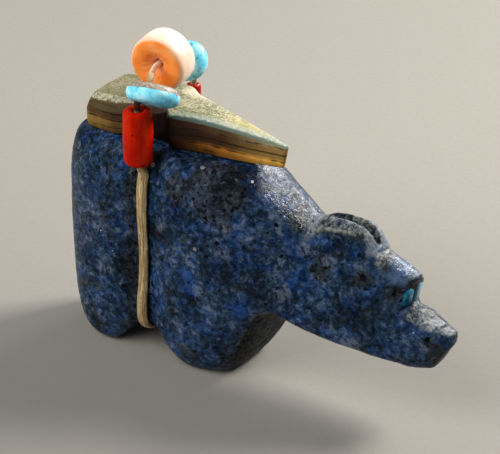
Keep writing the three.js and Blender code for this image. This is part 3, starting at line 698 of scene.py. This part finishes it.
def fibre_tree():
    """Lays strands side by side round a path, each wandering a little, as fibres in a flat sinew."""
    tree, g, given = geometry_tree(
        "sinew_fibres",
        Strands=("Int", FIBRES),
        Thickness=("Float", FIBRE),
        Wander=("Float", 0.05),
        Seed=("Float", 1.0),
        Material=("Material", None),
    )
    path = g.node("GeometryNodeMeshToCurve", {0: given["Geometry"]}).outputs[0]
    inputs = {"Geometry": path, "Amount": given["Strands"]}
    copies = g.node("GeometryNodeDuplicateElements", inputs, domain="SPLINE").outputs
    inputs = {"Geometry": copies["Geometry"], "Name": "strand"}
    numbered = g.node("GeometryNodeStoreNamedAttribute", inputs, data_type="FLOAT", domain="POINT")
    number = next(s for s in numbered.inputs if s.name == "Value" and s.enabled)
    g.feed(number, copies["Duplicate Index"])

    strand, turn = g.stored("strand"), g.times(g.stored("along"), TURN)
    loop = g.join(g.math("COSINE", turn), g.math("SINE", turn), g.times(strand, 3.7))
    inputs = {"Vector": loop, "Scale": 2.6, "Detail": 3.0, "W": given["Seed"]}
    wander = g.node("ShaderNodeTexNoise", inputs, noise_dimensions="4D").outputs["Fac"]
    off = g.times(g.swing(wander, given["Wander"]), 4.0)
    angle = g.plus(g.times(g.math("DIVIDE", strand, given["Strands"]), TURN), off)
    across = g.scaled(g.stored("across", "FLOAT_VECTOR"), g.math("COSINE", angle))
    outward = g.scaled(g.stored("outward", "FLOAT_VECTOR"), g.math("SINE", angle))
    inputs = {"Geometry": numbered.outputs["Geometry"], "Offset": g.vector("ADD", across, outward)}
    strands = g.node("GeometryNodeSetPosition", inputs).outputs[0]

    inputs = {"Resolution": 6, "Radius": g.times(given["Thickness"], 0.5)}
    section = g.node("GeometryNodeCurvePrimitiveCircle", inputs).outputs[0]
    tubes = g.node("GeometryNodeCurveToMesh", {0: strands, 1: section}).outputs[0]
    smooth = g.node("GeometryNodeSetShadeSmooth", {"Geometry": tubes}).outputs[0]
    close_tree(g, smooth, given["Material"])
    return tree


def add_piece(name, mesh, slot, *nodes):
    """Puts a finished mesh in the scene in place of its CAD node."""
    for polygon in mesh.polygons:
        polygon.use_smooth = True
    mesh.name = name
    piece = bpy.data.objects.new(name, mesh)
    bpy.context.scene.collection.objects.link(piece)
    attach(piece, "root")
    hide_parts(*nodes)


def grind_ears(places):
    """Grinds a flat facet on the outer side of each ear and returns how near each point is to its crease."""
    x, off, z = places[:, 0], np.abs(places[:, 1]), places[:, 2]
    first, last = (bear_low.x + EARS[end] * BEAR_LENGTH for end in ("from", "to"))
    rim, width, pitch = EARS["rim"] * MM, 0.6 * MM, 0.3 * MM
    on_rim = (off > rim) & (off < rim + width)
    stations = np.arange(first, last, pitch)
    tops = [z[(np.abs(x - at) < pitch) & on_rim].max() for at in stations]
    facet = np.interp(x, stations, tops) - EARS["slope"] * (off - rim)
    inside = (x > first) & (x < last) & (off > rim)
    above = np.where(inside, z - facet, -MM)
    places[:, 2] = np.where(above > 0, facet, z)
    lies = (x - first) / (last - first)
    crease = step(above, -0.2 * MM, -0.05 * MM) * step(above, 0.1 * MM, 0.02 * MM)
    return crease * step(off, 1.1 * MM, 1.35 * MM) * step(lies, 0.02, 0.1) * step(lies, 0.72, 0.6)


def grind_muzzle(places, ways):
    """Lowers the top of the muzzle between the brow and its tip to the straight line that it has."""
    along = (places[:, 0] - bear_low.x) / BEAR_LENGTH
    share = step(along, 0.915, 0.94) * step(along, 1.0, 0.95) * step(ways[:, 2], 0.2, 0.5)
    places[:, 2] -= MUZZLE_DROP * share


def sinew_groove_shade(places):
    """Painted shade in the groove that the sinew lies in: how near each point of the flanks is to the groove,
    from 0 to 1.
    """
    sinew = coordinates(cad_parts["sinew_binding"].data)
    at = sinew[np.abs(sinew[:, 1]) > 4.6 * MM, 0].mean()
    near = step(np.abs(places[:, 0] - at), 1.5 * MM, 0.8 * MM)
    return near * step(np.abs(places[:, 1]), 3.0 * MM, 4.0 * MM)


def carve_bear(mesh):
    """Grinds the ears and the muzzle, then marks where the stone is ground, where it gets a painted
    reflection or highlight, where it is dark from its clouds or from painted shade, where it is bright blue,
    and where it stays crisp.
    """
    places, ways = coordinates(mesh), normals(mesh)
    crease = grind_ears(places)
    grind_muzzle(places, ways)
    put(mesh, places)

    along = (places[:, 0] - bear_low.x) / BEAR_LENGTH
    height = (places[:, 2] - bear_low.z) / BEAR_HEIGHT
    side = places[:, 1] * PER_MM
    off = np.abs(side)
    forward, up = ways[:, 0], ways[:, 2]
    topside, head = step(up, 0.3, 0.6), step(along, 0.63, 0.66)
    seat = step(height, 0.9, 0.97) * topside * step(along, 0.5, 0.6)
    # The chest's front is ground grey stone, darkened to nearly black as painted shade.
    chest = step(along, 0.44, 0.5) * step(along, 0.62, 0.56)
    chest = chest * step(forward, 0.5, 0.62) * step(height, 0.42, 0.36)
    ear_front = step(along, 0.765, 0.785) * step(height, 0.745, 0.775) * step(forward, 0.35, 0.6)
    ears = head * topside * step(height, 0.74, 0.8) * (1 - 0.85 * ear_front)
    crown = head * step(height, 0.7, 0.74)
    slot = crown * step(off, 1.2, 0.8)
    gap = crown * step(off, 1.0, 0.75) * step(up, 0.8, 0.5) * (1 - 0.9 * ear_front)
    crest = step(along, 0.835, 0.86) * step(along, BROW["at"] + 0.01, BROW["at"]) * step(height, 0.645, 0.675)
    valley = head * topside * step(height, 0.66, 0.7) * step(along, 0.855, 0.83) * (1 - crest)
    brow = step(along, BROW["at"] - 0.05, BROW["at"] - 0.035)
    brow = brow * step(height, BROW["foot"], BROW["foot"] + 0.02)
    facet = brow * step(forward, 0.7, 0.85)
    # painted shade on the facet just under the brow's crest
    shade_under_crest = facet * step(height, BROW["top"] - 0.05, BROW["top"] - 0.03)
    beside_eyes = facet * np.maximum(step(side, -0.9, -1.2), step(side, 0.1, 0.3))
    nose = topside * step(along, 0.884, 0.9) * step(height, 0.4, 0.44)
    muzzle = step(along, 0.885, 0.9)

    ground = np.maximum.reduce([0.8 * ears, 0.7 * valley, 0.68 * nose, chest, 0.9 * gap, 0.45 * seat])
    # painted shade deep in the slot between the ears
    slot_shade = gap * (0.1 + 0.9 * step(off, 0.35, 0.2))
    marks = {
        "ground": ground,
        # darker: painted shade on the chest and in the slot, and a little on the ears and the nose
        "darker_and_painted_shade": chest + slot_shade + 0.15 * ears + 0.4 * nose * step(along, 0.985, 0.965),
        # painted reflection and highlight on the brow's crest, the facets beside the eyes and the near ear's
        # front
        "pale": np.maximum.reduce([0.75 * crest, beside_eyes, ear_front]) * (1 - shade_under_crest),
        "clouds_and_painted_shade": around(places, DARK_PLACES) + 0.9 * shade_under_crest + sinew_groove_shade(places),
        "royal": around(places, ROYAL_PLACES),
        "cloudy": around(places, CLOUDY_PLACES),
        # the painted highlight along each ear's crease and the near ear's front; it also keeps the stone
        # crisp there
        "crease": np.maximum(crease, 0.6 * ear_front * step(off, 0.35, 0.55)),
        "soft": 1 - 0.97 * np.maximum.reduce([muzzle, slot, ears, crease, brow]),
        "rough": 0.25 + 0.75 * ground,
    }
    for name, share in marks.items():
        mark(mesh, name, np.clip(share, 0, 1))


def plug_eyes(bear):
    """Fills the bear's eye pockets with plugs of stone, so that the inlays have stone behind them."""
    def change(bm):
        for side in SIDES:
            plug = merged_copy(f"eye_inlay_{side}")
            places = coordinates(plug)
            middle = places.mean(0)
            put(plug, middle + (places - middle) * 1.1 - (0.13 * MM, 0, 0))
            bm.from_mesh(plug)
    with_bmesh(bear, change)
    return bear


def flatten_round_eyes(mesh):
    """Brings the stone round each inlay to its flat facet, so that the whole inlay shows."""
    places = coordinates(mesh)
    for side in SIDES:
        eye = merged_copy(f"eye_inlay_{side}")
        corners = coordinates(eye)
        front = max(eye.polygons, key=lambda polygon: (polygon.normal.x > 0.5) * polygon.area)
        out = np.array(front.normal)
        up = np.array((0, 0, 1.0)) - out * out[2]
        up /= np.linalg.norm(up)
        level = (corners @ out).max() - EYE_PROUD
        near = np.abs(places @ out - level) < EYE_REACH
        near &= places[:, 0] > corners[:, 0].min() - EYE_MARGIN
        for way in (up, np.cross(up, out)):
            where, span = places @ way, corners @ way
            near &= (where > span.min() - EYE_MARGIN) & (where < span.max() + EYE_MARGIN)
        places[near] += np.outer(level - places[near] @ out, out)
    put(mesh, places)


def bear_piece(surface, material):
    """The carved bear, its edges worn round, held within its solid's reach and on the ground."""
    mesh = evaluated(plug_eyes(merged_copy("bear_body")), voxels(BEAR_VOXEL))
    carve_bear(mesh)
    mesh = grown(mesh, surface, Rounds=22, Broad=0.22 * MM, Fine=0.09 * MM, Seed=1.0, Material=material)
    flatten_round_eyes(mesh)
    low, high = (bear_low.x, bear_low.y, 0.0), (bear_high.x, bear_high.y, math.inf)
    put(mesh, np.clip(coordinates(mesh), low, high))
    add_piece("carved_bear", mesh, "stone", "bear_body")


def eye_pieces(material):
    """The two inlaid eyes, the far one with a painted reflection of the sky on it."""
    for side in SIDES:
        node = f"eye_inlay_{side}"
        mesh = merged_copy(node)
        mark(mesh, "painted_sky_reflection", 0.0 if side == "right" else 0.75)
        mesh.materials.append(material)
        add_piece(f"inlaid_eye_{side}", mesh, "inlay", node)


def arrowhead_piece(surface, material):
    """The arrowhead, marked for the painted sheen along its near edge, the painted shade in its near notch
    and a pale patch on its top.
    """
    mesh = evaluated(merged_copy("arrowhead"), voxels(BUNDLE_VOXEL))
    low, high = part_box("arrowhead")
    places, up = coordinates(mesh), normals(mesh)[:, 2]
    along = (places[:, 0] - low.x) / (high.x - low.x)
    across = (places[:, 1] - low.y) / (high.y - low.y)
    upright = step(up, 0.75, 0.4)
    stations = np.linspace(0.02, 0.98, 49)
    edge = [places[np.abs(along - at) < 0.015, 1].min() for at in stations]
    from_edge = places[:, 1] - np.interp(along, stations, edge)
    notch_shade = step(along, 0.24, 0.3) * step(along, 0.5, 0.45) * step(across, 0.55, 0.45)
    # a pale cream patch on the far side of the top
    pale_patch = step(along, 0.33, 0.4) * step(along, 0.56, 0.46) * step(across, 0.6, 0.75)
    mark(mesh, "painted_sheen", step(from_edge, 1.3 * MM, 0.25 * MM) * step(along, 0.4, 0.5))
    mark(mesh, "notch_shade", notch_shade * upright)
    mark(mesh, "pale_patch", pale_patch * (1 - upright))
    mark(mesh, "soft", 0.8)
    mark(mesh, "rough", 0.3 + 0.7 * step(up, 0.5, 0.9))
    mesh = grown(mesh, surface, Rounds=5, Broad=0.1 * MM, Fine=0.12 * MM, Seed=4.0, Material=material)
    add_piece("layered_arrowhead", mesh, "layered_stone", "arrowhead")


def lies_on(places, axis):
    """Where each point of a bead lies along an axis, from 0 to 1, and how far from it, as a share."""
    axis = np.array(axis)
    middle = (places.min(0) + places.max(0)) / 2
    lengths = (places - middle) @ axis
    out = np.linalg.norm(places - middle - lengths[:, None] * axis, axis=1)
    return (lengths - lengths.min()) / (lengths.max() - lengths.min()), out / out.max()


def round_bead(node, surface, material, rounds, seed, swell=0.0, **marks):
    """A drilled bead made smooth from its faceted solid. Each mark is worked out from the bead's points."""
    mesh = evaluated(merged_copy(node), subdivided(1), voxels(BUNDLE_VOXEL))
    mark(mesh, "soft", 1.0)
    mark(mesh, "rough", 0.3)
    for name, worked_out in marks.items():
        mark(mesh, name, worked_out(coordinates(mesh)))
    values = {"Rounds": rounds, "Swell": swell, "Seed": seed, "Material": material}
    return grown(mesh, surface, Broad=0.12 * MM, Fine=0.04 * MM, **values)


def tighten_bore(mesh, axis):
    """Draws the wall of a bead's bore in round the sinew that fills it."""
    axis = np.array(axis)
    places = coordinates(mesh)
    middle = (places.min(0) + places.max(0)) / 2
    along = np.outer((places - middle) @ axis, axis)
    out = places - middle - along
    distance = np.linalg.norm(out, axis=1)
    drawn = distance - (BORE_RADIUS - TIGHT_RADIUS) * step(distance, 1.6 * BORE_RADIUS, BORE_RADIUS)
    put(mesh, middle + along + out * (drawn / np.maximum(distance, 1e-9))[:, None])


def coral_piece(side, surface, material, seed):
    """An upright tube bead with worn ends."""
    node = f"coral_bead_{side}"
    mesh = round_bead(node, surface, material, 7, seed)
    tighten_bore(mesh, (0, 0, 1))
    add_piece(f"coral_tube_{side}", mesh, "coral", node)


def turquoise_piece(side, surface, material, seed):
    """A tumbled bead, mottled low on its rim. The near one has matrix over its upper face."""
    node = f"turquoise_bead_{side}"
    marks = {
        "under": lambda places: step(lies_on(places, (0, 0, 1))[0], 0.5, 0.1),
        "matrix": lambda places: (side == "right") * step(lies_on(places, NUGGET_AXIS)[0], 0.52, 0.76),
    }
    mesh = round_bead(node, surface, material, 6, seed, swell=NUGGET_SWELL, **marks)
    add_piece(f"turquoise_nugget_{side}", mesh, "turquoise", node)


def shell_piece(surface, material, seed):
    """The shell disc on its edge, marked from its near face through and from its middle out."""
    marks = {
        "depth": lambda places: lies_on(places, SHELL_AXIS)[0],
        "radial": lambda places: lies_on(places, SHELL_AXIS)[1],
    }
    mesh = round_bead("shell_bead", surface, material, 6, seed, **marks)
    tighten_bore(mesh, SHELL_AXIS)
    add_piece("shell_disc", mesh, "shell", "shell_bead")


def ring_walk(mesh, count):
    """The rings of a closed tube of triangles, in order along it. Every vertex has six edges, and the edge
    that carries straight on from another is the third one round the vertex from it."""
    bm = bmesh.new()
    bm.from_mesh(mesh)

    def straight_on(edge, vertex):
        face = edge.link_faces[0]
        for _ in range(3):
            edge = next(e for e in face.edges if e is not edge and vertex in e.verts)
            face = next(f for f in edge.link_faces if f is not face)
        return edge

    def loop_from(vertex, edge):
        chain = [vertex]
        while True:
            vertex = edge.other_vert(chain[-1])
            if vertex is chain[0] or len(chain) > len(bm.verts):
                return chain
            chain.append(vertex)
            edge = straight_on(edge, vertex)

    def ring_of(vertex):
        loops = (loop_from(vertex, edge) for edge in vertex.link_edges)
        return next(ring for ring in loops if len(ring) == count)

    bm.verts.ensure_lookup_table()
    start = bm.verts[0]
    near = {v.index for v in ring_of(start)}
    chains = [loop_from(start, edge) for edge in start.link_edges if edge.other_vert(start).index not in near]
    spine = min(chains, key=len)
    rings = np.array([[v.co for v in ring_of(vertex)] for vertex in spine])
    bm.free()
    return rings


def sinew_course():
    """The sinew's middle line and its half widths across and outward, one row for each ring of its solid.
    It bows and slims on the right flank, where it is strained, and is finer where the shell is strung."""
    rings = ring_walk(merged_copy("sinew_binding"), RING_SIDES)
    centres = rings.mean(1)
    spread = rings - centres[:, None]
    y, z = centres[:, 1], centres[:, 2]
    flank = step(y, -3 * MM, -4 * MM) * np.exp(-(((z - 11 * MM) / (5.5 * MM)) ** 2))
    loose = (y < -4 * MM) & (z > 3 * MM) & (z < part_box("coral_bead_right")[0].z)
    level = centres[:, 0].copy()
    for _ in range(12):
        level = np.where(loose, (np.roll(level, 1) + 2 * level + np.roll(level, -1)) / 4, level)
    centres[:, 0] = level + FLANK_BOW * flank
    spread[:, :, 0] *= (1 - FLANK_SLIM * flank)[:, None]
    from_shell = np.linalg.norm(centres - middle_of("shell_bead"), axis=1)
    spread *= (1 - SHELL_SLIM * step(from_shell, 4.4 * MM, 3.4 * MM))[:, None, None]

    ways = unit(np.roll(centres, -1, 0) - np.roll(centres, 1, 0))
    sides = unit(np.array((1.0, 0, 0)) - ways * ways[:, :1])
    outs = np.cross(ways, sides)
    widths = [way * np.abs((spread * way[:, None]).sum(2)).max(1)[:, None] for way in (sides, outs)]
    return centres, *widths


def resampled(rows, fine=4):
    """A closed course of rows with more in between, on a smooth curve through them."""
    before, after, later = np.roll(rows, 1, 0), np.roll(rows, -1, 0), np.roll(rows, -2, 0)
    slope = after - before
    bend = 2 * before - 5 * rows + 4 * after - later
    twist = 3 * rows - before - 3 * after + later
    parts = [0.5 * (2 * rows + slope * t + bend * t**2 + twist * t**3) for t in np.arange(fine) / fine]
    return np.stack(parts, 1).reshape(-1, rows.shape[1])


def sinew_piece(tree, material):
    """The loop of sinew: fibres side by side round the course of its solid."""
    places, across, outward = (resampled(rows) for rows in sinew_course())
    total = len(places)
    path = bpy.data.meshes.new("sinew_path")
    path.from_pydata(places.tolist(), [(i, (i + 1) % total) for i in range(total)], [])
    for name, rows in (("across", across), ("outward", outward)):
        inset = (rows - unit(rows) * FIBRE / 2).ravel().astype(np.float32)
        path.attributes.new(name, "FLOAT_VECTOR", "POINT").data.foreach_set("vector", inset)
    mark(path, "along", np.arange(total) / total)
    mesh = grown(path, tree, Strands=FIBRES, Thickness=FIBRE, Wander=0.05, Seed=2.0, Material=material)

    places = coordinates(mesh)
    from_shell = np.linalg.norm(places - middle_of("shell_bead"), axis=1)
    # painted light on the sinew near the shell
    mark(mesh, "strung", step(from_shell, 4.2 * MM, 2.6 * MM))
    above = places[:, 2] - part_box("coral_bead_right")[1].z
    near_side = step(places[:, 1], -3.6 * MM, -4.0 * MM)
    # painted shade in the gap between the near coral tube and the turquoise
    mark(mesh, "painted_shade_under_bead", near_side * step(above, -0.5 * MM, 0) * step(above, 1.6 * MM, 1.2 * MM))
    add_piece("sinew_loop", mesh, "sinew", "sinew_binding")


def make_camera():
    """The camera at the photograph's angle, held upright and aimed at the middle of the view."""
    camera = bpy.data.objects.new("camera", bpy.data.cameras.new("camera"))
    bpy.context.scene.collection.objects.link(camera)
    camera.data.lens = CAMERA["lens"]
    camera.data.sensor_width = CAMERA["sensor"]
    camera.data.clip_start, camera.data.clip_end = 0.01, 10
    azimuth, elevation = math.radians(CAMERA["azimuth"]), math.radians(CAMERA["elevation"])
    level = math.cos(elevation)
    back = Vector((math.sin(azimuth) * level, -math.cos(azimuth) * level, math.sin(elevation)))
    camera.location = AIM + back * CAMERA["distance"]
    camera.rotation_euler = (-back).to_track_quat("-Z", "Y").to_euler()
    bpy.context.scene.camera = camera


def add_light(name, place, size, power, colour):
    """A soft square light at a place in millimetres, aimed at the bear."""
    light = bpy.data.objects.new(name, bpy.data.lights.new(name, "AREA"))
    light.data.size = size * MM
    light.data.energy = power
    light.data.color = colour
    light.location = Vector(place) * MM
    light.rotation_euler = (light.location - AIM).to_track_quat("Z", "Y").to_euler()
    bpy.context.scene.collection.objects.link(light)
    return light


def make_floor():
    """A pale floor with painted shade that darkens it a little towards the front."""
    mesh = bpy.data.meshes.new("floor")
    reach = 1.5
    corners = [(-reach, -reach, 0), (reach, -reach, 0), (reach, reach, 0), (-reach, reach, 0)]
    mesh.from_pydata(corners, [], [(0, 1, 2, 3)])
    floor = bpy.data.objects.new("floor", mesh)
    bpy.context.scene.collection.objects.link(floor)
    material, g, shader, place = new_material("pale_floor", Roughness=0.9, Specular_IOR_Level=0.2)
    pale = g.mix(g.noise(place, 1.6, detail=3.0), rgb(142, 138, 130), rgb(152, 147, 139))
    # painted shade: the light falls off towards the front
    front = g.band(g.split(place)[1], 0.05, -0.09)
    g.feed(shader.inputs["Base Color"], g.mix(front, pale, rgb(110, 110, 107)))
    mesh.materials.append(material)


def make_studio():
    """The floor and soft light, strongest from behind, with one lamp that shows only as a glint."""
    make_floor()
    add_light("window", (160, 260, 260), 120, 2.5, (1.0, 0.97, 0.92))
    fill = add_light("fill", (-140, -220, 220), 320, 1.5, (1.0, 0.99, 0.97))
    fill.visible_glossy = False
    glint = add_light("glint", (15, 300, 225), 110, 4.4, (1.0, 0.99, 0.98))
    glint.visible_diffuse = False
    world = bpy.data.worlds.new("room")
    world.use_nodes = True
    sky = world.node_tree.nodes["Background"].inputs
    sky["Color"].default_value = (0.93, 0.96, 1.0, 1)
    sky["Strength"].default_value = 0.2
    bpy.context.scene.world = world
    bpy.context.scene.view_settings.view_transform = "Standard"


make_camera()
make_studio()
surface = surface_tree()
bear_piece(surface, stone_material())
arrowhead_piece(surface, layered_material())
coral, turquoise = coral_material(), turquoise_material()
for side, seed in zip(SIDES, (2.0, 3.0)):
    coral_piece(side, surface, coral, seed)
    turquoise_piece(side, surface, turquoise, seed + 3)
shell_piece(surface, shell_material(), 9.0)
eye_pieces(inlay_material())
sinew_piece(fibre_tree(), sinew_material())
